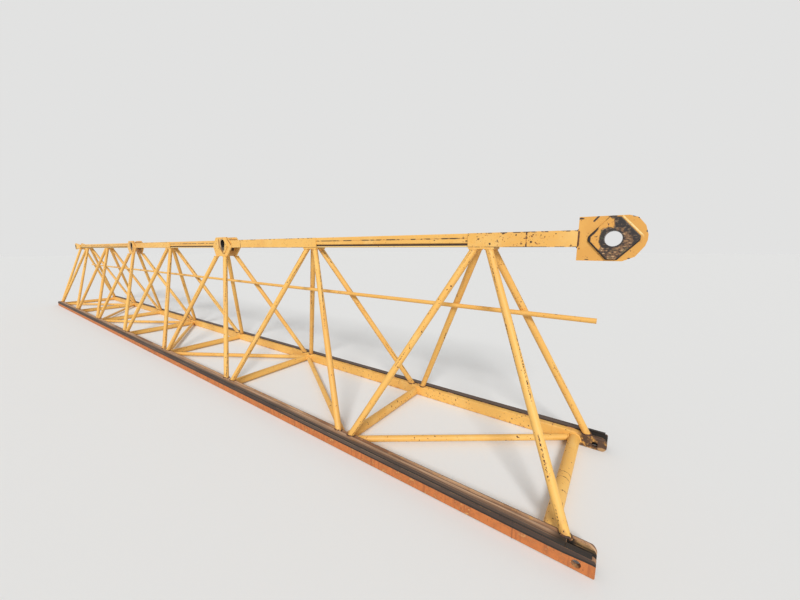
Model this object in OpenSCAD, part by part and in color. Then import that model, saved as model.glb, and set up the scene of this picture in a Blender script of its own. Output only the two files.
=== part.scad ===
// Jib section of a tower crane: a welded triangular lattice of round tubes,
// 12.5 m long, with two bottom rails, one top chord and pinned ends.
// X runs along the jib with the root end at +X, Z is up, the rails rest on z = 0.

/* [Lattice] */
// distance between neighbouring bottom nodes along the jib
bay_length = 1762; // [1500:2:2000]
// length of the shorter bay at the root end
first_bay = 1595; // [1450:5:1700]
// number of bays
bay_count = 7; // [6:1:9]
// distance across the jib between the two lattice lines at the rails
gauge = 1150; // [1000:10:1400]
// height of the lattice lines from the rail line to the top of the top chord
lattice_height = 1634; // [1400:2:1900]
// how far below the rails the lattice lines meet
line_drop = 20; // [0:1:40]
// distance of each apex from the bottom node on its root side
apex_offset = 898; // [860:2:940]
// outer diameter of the side diagonals
diagonal_diameter = 51; // [42:1:60]
// how far the foot of the end posts stands beyond the last bottom node
end_post_shift = 18; // [12:1:30]

/* [Rails] */
// width of a rail box across the jib
rail_width = 105; // [90:1:130]
// height of a rail box without its running strip
rail_height = 100; // [80:1:130]
// how far a rail sits inward of its lattice line
rail_inset = 18; // [10:1:22]
// width of the running strip
strip_width = 58; // [40:1:62]
// thickness of the running strip
strip_thickness = 10; // [6:1:16]
// setback of the strip from the outer face of the rail
strip_setback = 3; // [2:1:6]
// gap between the running strip and its narrow end on the fork finger
strip_gap = 2; // [1:0.5:6]
// outer corner radius of a rail box
rail_corner = 10; // [4:1:16]

/* [Rail ends] */
// distance from the regular node line to the tip of a rail fork
fork_tip = 83; // [60:1:110]
// length of the slot between the two fingers of a fork
fork_slot_length = 130; // [120:1:180]
// thickness of one fork finger
finger_thickness = 27; // [20:1:32]
// length of the solid part of the fork piece behind the slot
fork_shank = 225; // [150:5:300]
// corner radius of the outer finger and of the tongue
tip_round = 18; // [8:1:26]
// corner radius of the inner finger, which has a rounder nose
inner_tip_round = 44; // [20:1:48]
// diameter of the pin bores in the rail ends
rail_pin_bore = 42; // [35:1:50]
// height of the pin bores above the ground
rail_pin_height = 42; // [38:1:56]
// distance of the pin bores from the tips of a fork
rail_pin_edge = 78; // [60:1:82]
// distance of the pin bore from the tip of a tongue
tongue_edge = 48; // [36:1:52]
// side clearance of a tongue in the fork of the next section
tongue_clearance = 1.5; // [0.5:0.5:4]
// gap between the rail boxes of two sections that are pinned together
rail_gap = 12; // [4:1:30]

/* [Top chord] */
// width of the top chord across the jib
chord_width = 100; // [80:1:130]
// full height of the top chord
chord_height = 93; // [80:1:120]
// height of the flat face above the groove
chord_face_height = 63; // [50:1:70]
// height of the groove below the face
chord_groove_height = 12; // [8:1:16]
// depth of the groove on each side
chord_groove_depth = 9; // [5:1:14]
// how far the bottom flange is narrower than the face on each side
flange_setback = 3; // [0:1:6]
// radius of the top corners of the top chord
chord_corner = 8; // [4:1:12]
// distance of the top chord's outer end from the last bottom node
chord_tail_setback = 134; // [110:2:180]
// thickness of the plates under the top chord where the diagonals meet
apex_plate_thickness = 12; // [8:1:20]
// length of the last plate under the top chord, at its outer end
last_plate_length = 98; // [85:1:120]

/* [Side plates] */
// thickness of the side plates on the top chord
side_plate_thickness = 8; // [6:1:12]
// overlap of a side plate beyond its apex
side_plate_overlap = 98; // [90:2:140]

/* [End lug] */
// distance from the regular node line to the tip of the end lug
lug_tip = 18; // [10:1:40]
// length of the end lug along the jib
lug_length = 318; // [280:1:380]
// height of the end lug
lug_height = 243; // [220:1:280]
// thickness of the end lug plate
lug_thickness = 72; // [60:1:74]
// how far the lug centre lies below the top of the chord
lug_centre_drop = 48; // [36:1:54]
// length of a diamond pad along the jib
pad_length = 230; // [200:1:250]
// height of a diamond pad
pad_height = 221; // [190:1:236]
// thickness of a diamond pad
pad_thickness = 12; // [8:1:12]
// diameter of the pin bore in the end lug
lug_bore = 84; // [60:1:100]
// distance of the end lug bore from the lug tip
lug_bore_edge = 150; // [130:1:160]
// corner radius of the flame-cut plates
plate_round = 10; // [4:1:12]
// thickness of a cheek of the top chord fork
cheek_thickness = 20; // [14:1:28]
// distance of the cheek tip from the pin bore
cheek_edge = 82; // [80:1:110]
// length of a cheek on the side of the top chord
cheek_lap = 150; // [120:5:220]

/* [Tie lugs] */
// number of the apex that carries the inner pair of tie lugs
inner_tie_number = 2; // [2:1:2]
// number of the apex that carries the outer pair of tie lugs
outer_tie_number = 4; // [4:1:5]
// how far a tie lug sits from its apex towards the root end
tie_lug_shift = 36; // [0:1:44]
// width of a tie lug along the jib
tie_lug_width = 466; // [420:2:480]
// width of the straight top edge of a tie lug
tie_lug_crown = 280; // [240:5:320]
// height of a tie lug
tie_lug_height = 241; // [230:1:260]
// height of the shoulders of a tie lug, from its top down to its widest place
tie_lug_shoulder = 92; // [70:1:100]
// thickness of a tie lug plate
tie_lug_thickness = 15; // [10:1:20]
// how far a tie lug stands above the top chord
tie_lug_rise = 40; // [30:1:60]
// width of the shield-shaped pad on a tie lug
tie_pad_width = 214; // [190:2:240]
// distance of the pad's top edge from the tie bore
tie_pad_top = 60; // [54:1:70]
// distance of the pad's pointed bottom from the tie bore
tie_pad_bottom = 124; // [90:1:130]
// thickness of the pad on a tie lug
tie_pad_thickness = 10; // [6:1:14]
// diameter of the bore for the tie bar pin
tie_bore = 96; // [70:1:100]
// how far the tie bore lies above the pin line of the end lug
tie_bore_rise = 8; // [0:1:14]
// how far the tie bore sits from the middle of its lug towards the root end
tie_bore_shift = 46; // [0:1:56]
// wall of the bored sleeve between the tie lugs
sleeve_wall = 16; // [10:1:24]
// gap between a sleeve and the ends of the top chord pieces beside it
sleeve_room = 12; // [6:1:24]

/* [Bottom bracing] */
// outer diameter of the crossbars between the rails
crossbar_diameter = 76; // [60:1:80]
// outer diameter of the crossbar at the root end
end_crossbar_diameter = 80; // [70:1:88]
// distance of the end crossbar from the first bottom node
end_crossbar_offset = 130; // [120:1:160]
// outer diameter of the floor diagonals
floor_diagonal_diameter = 48; // [38:1:54]
// clearance of the end crossbar above the ground
floor_clearance = 4; // [2:1:12]
// distance between a floor diagonal and its node at the rail
floor_offset = 34; // [20:1:60]

/* [Guide tube] */
// outer diameter of the guide tube
guide_diameter = 34; // [26:1:42]
// height of the guide tube axis
guide_height = 1065; // [900:5:1200]
// distance from the regular node line to the root end of the guide tube
guide_tip = 213; // [150:1:300]
// distance of the guide tube's outer end from the last node
guide_tail = 120; // [60:5:300]

/* [Hidden] */
$fn = 48;

NEAR = -1;
FAR = 1;
yellow = "#e8b25a";
orange = "#c8743a";
steel = "#6a5a52";

// lengths along the jib, measured from the regular node line towards the outer end
lattice_length = bay_count * bay_length;
lug_bore_d = lug_tip + lug_bore_edge;
fork_bore_d = fork_tip + rail_pin_edge;
// the pins of the next section stand one lattice length further out
cheek_bore_d = lattice_length + lug_bore_d;
tongue_bore_d = lattice_length + fork_bore_d;
rail_end = lattice_length + fork_tip - rail_gap;
tongue_tip = tongue_bore_d + tongue_edge;
tongue_length = tongue_tip - rail_end;
cheek_tip = cheek_bore_d + cheek_edge;
node0 = (lug_tip + max(cheek_tip, tongue_tip)) / 2;

// the side planes lean towards the top chord
lean = atan2(gauge / 2, lattice_height);
slope = sqrt(gauge * gauge / 4 + lattice_height * lattice_height);
top_z = lattice_height - line_drop;
chord_z = top_z - chord_height;
rail_top = rail_height + strip_thickness;
chord_end = lug_tip + lug_length;
chord_tail = lattice_length - chord_tail_setback;
fork_root = fork_tip + fork_slot_length;
rail_start = fork_root + fork_shank;
lug_z = top_z - lug_centre_drop;
plate_y = chord_width / 2;
tie_bore_z = lug_z + tie_bore_rise;
tie_bottom_z = top_z + tie_lug_rise - tie_lug_height;
// half of the bottom edge of a tie lug, as wide as the two diagonals that end there
tie_foot = (tie_lug_height - tie_lug_rise) / lattice_height * max(apex_offset, bay_length - apex_offset)
           + 0.6 * diagonal_diameter;
// half of the length that a sleeve and its room take from the top chord
sleeve_half = tie_bore / 2 + sleeve_wall + sleeve_room;
// inner faces of the rails, and the axes of the bars between them
floor_y = gauge / 2 - rail_inset - rail_width / 2;
floor_line = floor_clearance + end_crossbar_diameter / 2;

function at(d) = node0 - d;
function node_d(k) = k == 0 ? bay_length - first_bay : k * bay_length;
function apex_d(k) = k * bay_length + apex_offset;
function tie_d(k) = apex_d(k) - tie_lug_shift;
function tie_bore_d(k) = tie_d(k) - tie_bore_shift;
// how far a side tube's top end reaches from its apex under the top chord, by the tube's run
function apex_reach(run) = run * (lattice_height - chord_z + apex_plate_thickness) / lattice_height
                           + 0.57 * diagonal_diameter;
end_crossbar_place = node_d(0) + end_crossbar_offset;
function outward(side) = side * (gauge / 2 - rail_inset);

function unit(v) = v / norm(v);

// an outline of straight edges whose outer corners are rounded, with one radius for each point
module rounded(points, radii) {
  n = len(points);
  difference() {
    polygon(points);
    for (i = [0 : n - 1]) if (radii[i] > 0) {
      p = points[i];
      a = unit(points[(i + n - 1) % n] - p);
      b = unit(points[(i + 1) % n] - p);
      half = acos(a * b) / 2;
      // the arc crosses both edges at a small angle, so that it meets them cleanly
      inset = 0.99 * radii[i];
      centre = p + unit(a + b) * inset / sin(half);
      reach = inset / tan(half);
      difference() {
        polygon([centre, 2 * (p + a * reach) - centre, 2 * p - centre, 2 * (p + b * reach) - centre]);
        translate(centre) circle(radii[i]);
      }
    }
  }
}

// an upright plate with its outline along x and z, from y - thickness / 2 to y + thickness / 2
module upright(d, y, z, thickness) {
  translate([at(d), y + thickness / 2, z]) rotate([90, 0, 0]) linear_extrude(thickness) children();
}

// a block between two distances along the jib
module span(d1, d2, y, z, w, h) {
  translate([at(d2), y, z]) cube([d2 - d1, w, h]);
}

// places children in the leaning side plane, with x along the jib and z up the slope
module in_side(side) {
  translate([0, side * gauge / 2, -line_drop]) rotate([side * lean, 0, 0]) children();
}

// underside of an apex plate, or of a tie lug
function apex_z(k) = k == inner_tie_number || k == outer_tie_number
                     ? tie_bottom_z : chord_z - apex_plate_thickness;

// keeps what lies between two heights
module trim(low, high) {
  intersection() {
    children();
    translate([-node0 - gauge, -gauge, low]) cube([2 * (node0 + gauge), 2 * gauge, high - low]);
  }
}

// one straight tube of the side lattice, between a bottom and a top distance: it stands on the rail's
// lip, is notched over the running strip and ends level at the top
module side_tube(side, d_low, d_high, high) {
  run = d_low - d_high;
  extra = 4 * diagonal_diameter;
  edge = outward(side) + side * (rail_width / 2 - strip_setback - strip_width);
  difference() {
    trim(rail_height, high) in_side(side) translate([at(d_low), 0, 0]) rotate([0, atan2(run, slope), 0])
      translate([0, 0, -extra]) cylinder(h = norm([run, slope]) + 2 * extra, d = diagonal_diameter);
    span(d_low - extra, d_low + extra, side == NEAR ? edge - rail_width : edge, rail_height - 1, rail_width,
         strip_thickness + 1);
  }
}

// section of a rail across y and z
module rail_section(width, corner) {
  rounded([[-width / 2, 0], [width / 2, 0], [width / 2, rail_height], [-width / 2, rail_height]],
          [corner, corner, corner, corner]);
}

module rail_piece(side, d1, d2) {
  translate([at(d2), outward(side), 0]) rotate([90, 0, 90]) linear_extrude(d2 - d1)
    rail_section(rail_width, rail_corner);
}

module rail(side) {
  color(side == NEAR ? orange : yellow) rail_piece(side, rail_start, rail_end);
}

module running_strip(side) {
  outer = outward(side) + side * (rail_width / 2 - strip_setback);
  finger = finger_thickness - strip_setback;
  y0 = side == NEAR ? outer : outer - strip_width;
  y1 = side == NEAR ? outer : outer - finger;
  color(steel) {
    span(fork_root, rail_end, y0, rail_height, strip_width, strip_thickness);
    span(fork_tip + tip_round, fork_root - strip_gap, y1, rail_height, finger, strip_thickness);
  }
}

// outline of a rail end along x and z, with round tip corners
module end_outline(length, r) {
  rounded([[0, 0], [length, 0], [length, rail_height], [0, rail_height]], [0, r, r, 0]);
}

// the two rail ends, cut out of the rail; each finger has its own nose
module rail_fork(side) {
  y = outward(side);
  length = rail_start - fork_tip;
  color(side == NEAR ? orange : yellow) difference() {
    intersection() {
      upright(rail_start, y, 0, rail_width) end_outline(length, tip_round);
      rail_piece(side, fork_tip, rail_start);
    }
    difference() {
      span(fork_tip - 1, fork_tip + fork_slot_length / 2, side == NEAR ? y : y - rail_width, -1,
           rail_width, rail_height + 2);
      upright(rail_start, y - side * rail_width / 2, 0, rail_width + 2) end_outline(length, inner_tip_round);
    }
    translate([at(fork_root), y - rail_width / 2 + finger_thickness, -1])
      cube([fork_slot_length + 1, rail_width - 2 * finger_thickness, rail_height + 2]);
    translate([at(fork_bore_d), y, rail_pin_height]) rotate([90, 0, 0])
      cylinder(h = rail_width + 2, d = rail_pin_bore, center = true);
  }
}

module rail_tongue(side) {
  // the tongue fits the slot of a fork
  w = rail_width - 2 * finger_thickness - 2 * tongue_clearance;
  color(side == NEAR ? orange : yellow) difference() {
    translate([at(rail_end), outward(side) - w / 2, 0]) mirror([1, 0, 0]) rotate([90, 0, 0])
      mirror([0, 0, 1]) linear_extrude(w) end_outline(tongue_length, tip_round);
    translate([at(tongue_bore_d), outward(side), rail_pin_height]) rotate([90, 0, 0])
      cylinder(h = w + 2, d = rail_pin_bore, center = true);
  }
}

// section of the top chord across y and z: a face, a groove and a bottom flange
module chord_section() {
  a = chord_width / 2;
  g = a - chord_groove_depth;
  f = a - flange_setback;
  c = chord_corner;
  z1 = chord_height - chord_face_height;
  z0 = z1 - chord_groove_height;
  rounded([[-f, 0], [f, 0], [f, z0], [g, z0], [g, z1], [a, z1], [a, chord_height],
           [-a, chord_height], [-a, z1], [-g, z1], [-g, z0], [-f, z0]],
          [0, 0, 0, 0, 0, 0, c, c, 0, 0, 0, 0]);
}

module chord_piece(d1, d2) {
  color(yellow) translate([at(d2), 0, chord_z]) rotate([90, 0, 90]) linear_extrude(d2 - d1) chord_section();
}

module top_chord_root() { chord_piece(chord_end, tie_bore_d(inner_tie_number) - sleeve_half); }
module top_chord_middle() {
  chord_piece(tie_bore_d(inner_tie_number) + sleeve_half, tie_bore_d(outer_tie_number) - sleeve_half);
}
module top_chord_outer() { chord_piece(tie_bore_d(outer_tie_number) + sleeve_half, chord_tail); }

// two cheeks that take the lug of the next section
module top_chord_fork() {
  e = cheek_edge;
  r = plate_round;
  back = cheek_bore_d - chord_tail + cheek_lap;
  // the lower edge reaches the underside of the chord a little before its end
  seat = back - cheek_lap - 2 * r;
  low = chord_z - lug_z;
  high = lug_centre_drop;
  color(yellow) for (side = [NEAR, FAR]) difference() {
    upright(cheek_bore_d, side * (plate_y + cheek_thickness / 2), lug_z, cheek_thickness)
      rounded([[-e, -e / 2], [-e / 2, -e], [e / 2, -e], [seat, low], [back, low],
               [back, high], [back - e, high], [e / 2, e], [-e / 2, e], [-e, e / 2]],
              [r, r, r, 0, 0, 0, r, r, r, r]);
    upright(cheek_bore_d, 0, lug_z, 2 * (plate_y + cheek_thickness) + 2) circle(d = lug_bore);
  }
}

// level plates under the top chord, where the diagonals end
module apex_plates() {
  w = chord_width + 2 * side_plate_thickness;
  t = apex_plate_thickness;
  color(yellow) {
    for (k = [0 : bay_count - 1]) if (k != inner_tie_number && k != outer_tie_number)
      span(apex_d(k) - apex_reach(apex_d(k) - node_d(k)),
           apex_d(k) + apex_reach(node_d(k + 1) - apex_d(k)), -w / 2, chord_z - t, w, t);
    span(chord_tail - last_plate_length, chord_tail, -w / 2, chord_z - t, w, t);
  }
}

// a flush plate on both faces of the top chord
module side_plates(d1, d2) {
  color(yellow) for (side = [NEAR, FAR])
    span(d1, d2, side * (plate_y + side_plate_thickness / 2) - side_plate_thickness / 2, chord_z,
         side_plate_thickness, chord_height);
}

function tie_lug_root_d(k) = tie_d(k) - tie_lug_width / 2;

module root_side_plates() { side_plates(chord_end, apex_d(0) + side_plate_overlap); }
module inner_side_plates() {
  side_plates(apex_d(inner_tie_number - 1) - side_plate_overlap, tie_lug_root_d(inner_tie_number));
}
module outer_side_plates() {
  side_plates(apex_d(outer_tie_number - 1) - side_plate_overlap, tie_lug_root_d(outer_tie_number));
}

// flame-cut plate with a faceted nose
module end_lug() {
  h = lug_height / 2;
  r = lug_bore_edge;
  back = lug_bore_d - chord_end;
  // corners of the nose around the bore, by angle and distance
  nose = [for (c = [[-43, r - 8], [-16, r - 3], [-4, r], [7, r + 1], [26, r + 1], [47, r - 1]])
          [c[1] * cos(c[0]), c[1] * sin(c[0])]];
  color(orange) difference() {
    upright(lug_bore_d, 0, lug_z, lug_thickness)
      rounded(concat([[back, -h], [r / 3, -h]], nose, [[r * 0.41, h], [back, h]]),
              [0, for (i = [0 : 7]) plate_round, 0]);
    upright(lug_bore_d, 0, lug_z, lug_thickness + 2) circle(d = lug_bore);
  }
}

// a diamond with its corners cut, on both faces of the lug
module end_lug_pads() {
  a = pad_length / 2;
  b = pad_height / 2;
  r = plate_round;
  c = 2.5 * r;
  color(orange) for (side = [NEAR, FAR]) difference() {
    upright(lug_bore_d, side * (lug_thickness + pad_thickness) / 2, lug_z, pad_thickness)
      rounded([[-a, -r], [-c, -b], [c, -b], [a, -r], [a, r], [c, b], [-c, b], [-a, r]],
              [r, r, r, r, r, r, r, r]);
    upright(lug_bore_d, 0, lug_z, lug_thickness + 4 * pad_thickness) circle(d = lug_bore);
  }
}

// plates with sloping shoulders on both sides of the top chord, down to the ends of the diagonals
module tie_lugs(k) {
  w = tie_lug_width / 2;
  s = tie_lug_shift;
  c = tie_lug_crown / 2;
  f = tie_foot;
  v = tie_lug_shoulder;
  r = 3 * plate_round;
  color(yellow) for (side = [NEAR, FAR]) difference() {
    upright(apex_d(k), side * (plate_y + tie_lug_thickness / 2), top_z + tie_lug_rise, tie_lug_thickness)
      rounded([[s + c, 0], [s + w, -v], [s + w, -v - r], [f, -tie_lug_height], [-f, -tie_lug_height],
               [s - w, -v - r], [s - w, -v], [s - c, 0]],
              [r, plate_round, plate_round, plate_round, plate_round, plate_round, plate_round, r]);
    tie_bore_cut(k);
  }
}

module tie_bore_cut(k) {
  upright(tie_bore_d(k), 0, tie_bore_z, 4 * plate_y) circle(d = tie_bore);
}

// shield-shaped doubler around the bore of each tie lug
module tie_pads(k) {
  a = tie_pad_width / 2;
  b = tie_pad_bottom;
  r = plate_round;
  out = plate_y + tie_lug_thickness;
  color(yellow) for (side = [NEAR, FAR]) difference() {
    upright(tie_bore_d(k), side * (out + tie_pad_thickness / 2), tie_bore_z, tie_pad_thickness)
      rounded([[-a, tie_pad_top], [-a, -b / 3], [-2 * r, -b], [2 * r, -b], [a, -b / 3], [a, tie_pad_top]],
              [2 * r, r, r, r, r, 2 * r]);
    tie_bore_cut(k);
  }
}

module tie_sleeve(k) {
  color(yellow) difference() {
    upright(tie_bore_d(k), 0, tie_bore_z, chord_width) circle(d = tie_bore + 2 * sleeve_wall);
    tie_bore_cut(k);
  }
}

// tubes that fall from an apex towards the outer end
module falling_diagonals(side) {
  color(yellow) for (k = [0 : bay_count - 1])
    side_tube(side, node_d(k + 1), apex_d(k), apex_z(k));
}

// tubes that rise from a bottom node to the apex on its outer side
module rising_diagonals(side) {
  color(yellow) for (k = [0 : bay_count - 1]) side_tube(side, node_d(k), apex_d(k), apex_z(k));
}

module end_posts() {
  color(yellow) for (side = [NEAR, FAR])
    side_tube(side, lattice_length + end_post_shift, chord_tail - last_plate_length / 2,
              chord_z - apex_plate_thickness);
}

module crossbar(place, d) {
  translate([at(place), -floor_y, floor_line]) rotate([-90, 0, 0]) cylinder(h = 2 * floor_y, d = d);
}

module floor_crossbars() {
  color(yellow) for (k = [1 : bay_count]) crossbar(k * bay_length, crossbar_diameter);
}

module end_crossbar() { color(yellow) crossbar(end_crossbar_place, end_crossbar_diameter); }

// zigzag between the rails: near rail at the odd nodes, far rail at the even nodes
module floor_diagonals() {
  color(yellow) for (k = [0 : bay_count - 1]) {
    root_side = k % 2 == 0 ? FAR : NEAR;
    bar = k == 0 ? end_crossbar_place : k * bay_length;
    d1 = bar + floor_offset;
    d2 = node_d(k + 1) - floor_offset;
    run = d2 - d1;
    turn = atan2(-root_side * 2 * floor_y, -run);
    extra = 4 * floor_diagonal_diameter;
    root_bar = k == 0 ? end_crossbar_diameter : crossbar_diameter;
    intersection() {
      translate([at(d1), root_side * floor_y, floor_line]) rotate([0, 0, turn]) rotate([0, 90, 0])
        translate([0, 0, -extra])
          cylinder(h = norm([run, 2 * floor_y]) + 2 * extra, d = floor_diagonal_diameter);
      span(bar + root_bar / 2, node_d(k + 1) - crossbar_diameter / 2,
           -floor_y, 0, 2 * floor_y, rail_height);
    }
  }
}

module guide_tube() {
  inner = gauge / 2 - (guide_height + line_drop) * tan(lean);
  y = inner - (diagonal_diameter + guide_diameter) / 2 / cos(lean);
  color(yellow) translate([at(lattice_length - guide_tail), y, guide_height]) rotate([0, 90, 0])
    cylinder(h = lattice_length - guide_tail - guide_tip, d = guide_diameter);
}

rail(NEAR);  // near_rail
rail(FAR);  // far_rail
running_strip(NEAR);  // near_running_strip
running_strip(FAR);  // far_running_strip
rail_fork(NEAR);  // near_rail_fork
rail_fork(FAR);  // far_rail_fork
rail_tongue(NEAR);  // near_rail_tongue
rail_tongue(FAR);  // far_rail_tongue
top_chord_root();
top_chord_middle();
top_chord_outer();
top_chord_fork();
apex_plates();
root_side_plates();
inner_side_plates();
outer_side_plates();
end_lug();
end_lug_pads();
tie_lugs(inner_tie_number);  // inner_tie_lugs
tie_lugs(outer_tie_number);  // outer_tie_lugs
tie_pads(inner_tie_number);  // inner_tie_pads
tie_pads(outer_tie_number);  // outer_tie_pads
tie_sleeve(inner_tie_number);  // inner_tie_sleeve
tie_sleeve(outer_tie_number);  // outer_tie_sleeve
falling_diagonals(NEAR);  // near_falling_diagonals
rising_diagonals(NEAR);  // near_rising_diagonals
falling_diagonals(FAR);  // far_falling_diagonals
rising_diagonals(FAR);  // far_rising_diagonals
end_posts();
floor_crossbars();
end_crossbar();
floor_diagonals();
guide_tube();
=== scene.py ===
# A weathered jib section of a tower crane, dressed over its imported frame.
# Everything is in metres: X runs along the jib to the root end, Z is up, the rails lie on z = 0.
import math

import bmesh
import bpy
import numpy as np
from mathutils import Matrix, Vector


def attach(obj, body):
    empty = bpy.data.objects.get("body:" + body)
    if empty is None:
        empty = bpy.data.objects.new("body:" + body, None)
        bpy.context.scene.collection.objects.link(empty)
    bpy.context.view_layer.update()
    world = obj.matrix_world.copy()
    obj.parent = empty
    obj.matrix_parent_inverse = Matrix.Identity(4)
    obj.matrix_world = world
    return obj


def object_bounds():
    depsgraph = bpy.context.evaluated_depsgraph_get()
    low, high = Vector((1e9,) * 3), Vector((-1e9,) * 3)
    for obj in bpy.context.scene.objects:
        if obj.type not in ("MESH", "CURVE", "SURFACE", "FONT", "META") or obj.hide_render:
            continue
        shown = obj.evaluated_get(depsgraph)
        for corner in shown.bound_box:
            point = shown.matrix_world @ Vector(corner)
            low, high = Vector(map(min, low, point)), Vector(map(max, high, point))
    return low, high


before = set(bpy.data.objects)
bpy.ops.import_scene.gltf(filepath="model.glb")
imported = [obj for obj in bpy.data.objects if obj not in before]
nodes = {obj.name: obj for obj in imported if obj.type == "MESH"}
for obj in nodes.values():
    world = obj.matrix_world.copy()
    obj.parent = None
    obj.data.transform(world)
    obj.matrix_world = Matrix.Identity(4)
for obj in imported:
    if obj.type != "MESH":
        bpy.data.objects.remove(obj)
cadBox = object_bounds()
print("frame:", len(nodes), "nodes")

# the lattice that the pieces follow
jib = {
    "bay": 1.762,            # distance between bottom nodes
    "firstNode": 0.167,      # first bottom node, from the regular node line
    "bays": 7,
    "apex": 0.898,           # apex from its bottom node
    "node0": 6.301,          # x of the regular node line
    "gauge": 1.150,
    "height": 1.634,
    "drop": 0.020,
    "tube": 0.051,           # side tube diameter
    "railTop": 0.100,
    "railY": 0.557,          # middle of a rail
    "railHalf": 0.0525,
    "chordTop": 1.614,
    "chordLow": 1.521,
    "tieLow": 1.413,
    "ties": (2, 4),          # bays whose apex has a tie lug
    "tieShift": 0.036,       # middle of a tie lug, from the apex towards the root
    "tieBore": 0.082,        # its bore, from the apex, and the bore's radius and height
    "tieRadius": 0.048,
    "tieBoreZ": 1.574,
    "lugBore": (6.133, 1.566),      # x and z of the end lug's bore, and its radius
    "lugRadius": 0.042,
    "forkBore": 12.502,      # distance of the chord fork's bore
    "stripInner": 0.5485,    # inner edge of a running strip
    "stripTop": 0.110,
    "postFoot": 12.352,      # foot and top of the end posts
    "postTop": 12.151,
}
leanSlope = jib["gauge"] / 2 / jib["height"]
leanAngle = math.atan(leanSlope)


def alongJib(distance):
    return jib["node0"] - distance


def marksAlong(marks):
    # marks given by their distance from the root end, as x, z, half width and half height
    return [(alongJib(distance), *rest) for distance, *rest in marks]


def nodeDistance(k):
    return jib["firstNode"] if k == 0 else k * jib["bay"]


def apexDistance(k):
    return k * jib["bay"] + jib["apex"]


photoView = {
    "place": (6.1916, -2.1185, 1.524),
    "yaw": -35.2376,
    "pitch": -9.55234,
    "roll": -0.16717,
    "lens": 14.176,
    "sensor": 36.0,
}


def setCamera(view):
    yaw, pitch, roll = (math.radians(view[k]) for k in ("yaw", "pitch", "roll"))
    ahead = Vector((math.sin(yaw) * math.cos(pitch), math.cos(yaw) * math.cos(pitch), math.sin(pitch)))
    right = Vector((math.cos(yaw), -math.sin(yaw), 0))
    up = right.cross(ahead)
    rolledRight = right * math.cos(roll) + up * math.sin(roll)
    rolledUp = up * math.cos(roll) - right * math.sin(roll)
    turn = Matrix((rolledRight, rolledUp, -ahead)).transposed()
    data = bpy.data.cameras.new("photoCamera")
    data.lens = view["lens"]
    data.sensor_width = view["sensor"]
    data.sensor_fit = "HORIZONTAL"
    data.clip_start = 0.02
    data.clip_end = 300
    camera = bpy.data.objects.new("photoCamera", data)
    camera.matrix_world = Matrix.Translation(Vector(view["place"])) @ turn.to_4x4()
    bpy.context.scene.collection.objects.link(camera)
    bpy.context.scene.camera = camera


setCamera(photoView)
bpy.context.scene.view_settings.view_transform = "Standard"
print("camera placed")


class Wire:
    # a shader socket that takes part in sums: a * b adds the Math node for it
    def __init__(self, tree, socket):
        self.tree = tree
        self.socket = socket

    def node(self, kind, settings=None, inputs=None, output=0):
        made = self.tree.nodes.new(kind)
        for key, value in (settings or {}).items():
            if key == "stops":
                fillRamp(made.color_ramp, value)
            else:
                setattr(made, key, value)
        for key, value in (inputs or {}).items():
            if isinstance(value, Wire):
                self.tree.links.new(value.socket, made.inputs[key])
            else:
                made.inputs[key].default_value = value
        return Wire(self.tree, made.outputs[output])

    def maths(self, operation, *values):
        return self.node("ShaderNodeMath", {"operation": operation}, dict(enumerate(values)))

    def __add__(self, other): return self.maths("ADD", self, other)
    def __radd__(self, other): return self.maths("ADD", other, self)
    def __sub__(self, other): return self.maths("SUBTRACT", self, other)
    def __rsub__(self, other): return self.maths("SUBTRACT", other, self)
    def __mul__(self, other): return self.maths("MULTIPLY", self, other)
    def __rmul__(self, other): return self.maths("MULTIPLY", other, self)
    def __truediv__(self, other): return self.maths("DIVIDE", self, other)
    def __pow__(self, other): return self.maths("POWER", self, other)
    def __abs__(self): return self.maths("ABSOLUTE", self)


def fillRamp(ramp, stops):
    while len(ramp.elements) < len(stops):
        ramp.elements.new(1.0)
    for element, (place, colour) in zip(ramp.elements, stops):
        element.position = place
        element.color = (*colour, 1.0)


def step(value, low, high):
    # 0 below low, 1 above high, smooth between them; low may be the larger one
    if low > high:
        return 1.0 - step(value, high, low)
    return value.node("ShaderNodeMapRange", {"interpolation_type": "SMOOTHSTEP"},
                      {0: value, 1: low, 2: high, 3: 0.0, 4: 1.0})


def either(first, *others):
    # the strongest of some masks
    for other in others:
        first = first.maths("MAXIMUM", first, other)
    return first


def radial(u, v):
    return (u * u + v * v) ** 0.5


def mixColour(mask, under, over):
    holder = next(w for w in (mask, under, over) if isinstance(w, Wire))
    pick = {0: mask, 6: under, 7: over}
    for key in (6, 7):
        if not isinstance(pick[key], Wire):
            pick[key] = (*pick[key], 1.0)
    return holder.node("ShaderNodeMix", {"data_type": "RGBA", "clamp_factor": True}, pick, 2)


def coats(colour, *layers):
    # masks and colours laid over a colour, one after another
    for mask, over in layers:
        colour = mixColour(mask, colour, over)
    return colour


def noise(place, scale, detail=3.0, rough=0.55, stretch=None, shift=None):
    if stretch or shift:
        place = place.node("ShaderNodeMapping", None,
                           {0: place, 1: shift or (0, 0, 0), 3: stretch or (1, 1, 1)})
    return place.node("ShaderNodeTexNoise", None,
                      {"Vector": place, "Scale": scale, "Detail": detail, "Roughness": rough})


def axes(place):
    made = place.tree.nodes.new("ShaderNodeSeparateXYZ")
    place.tree.links.new(place.socket, made.inputs[0])
    return [Wire(place.tree, made.outputs[i]) for i in range(3)]


def startFinish(name):
    # a new material and its Object coordinates
    finish = bpy.data.materials.new(name)
    finish.use_nodes = True
    tree = finish.node_tree
    coordinates = tree.nodes.new("ShaderNodeTexCoord")
    return finish, Wire(tree, coordinates.outputs["Object"])


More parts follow.
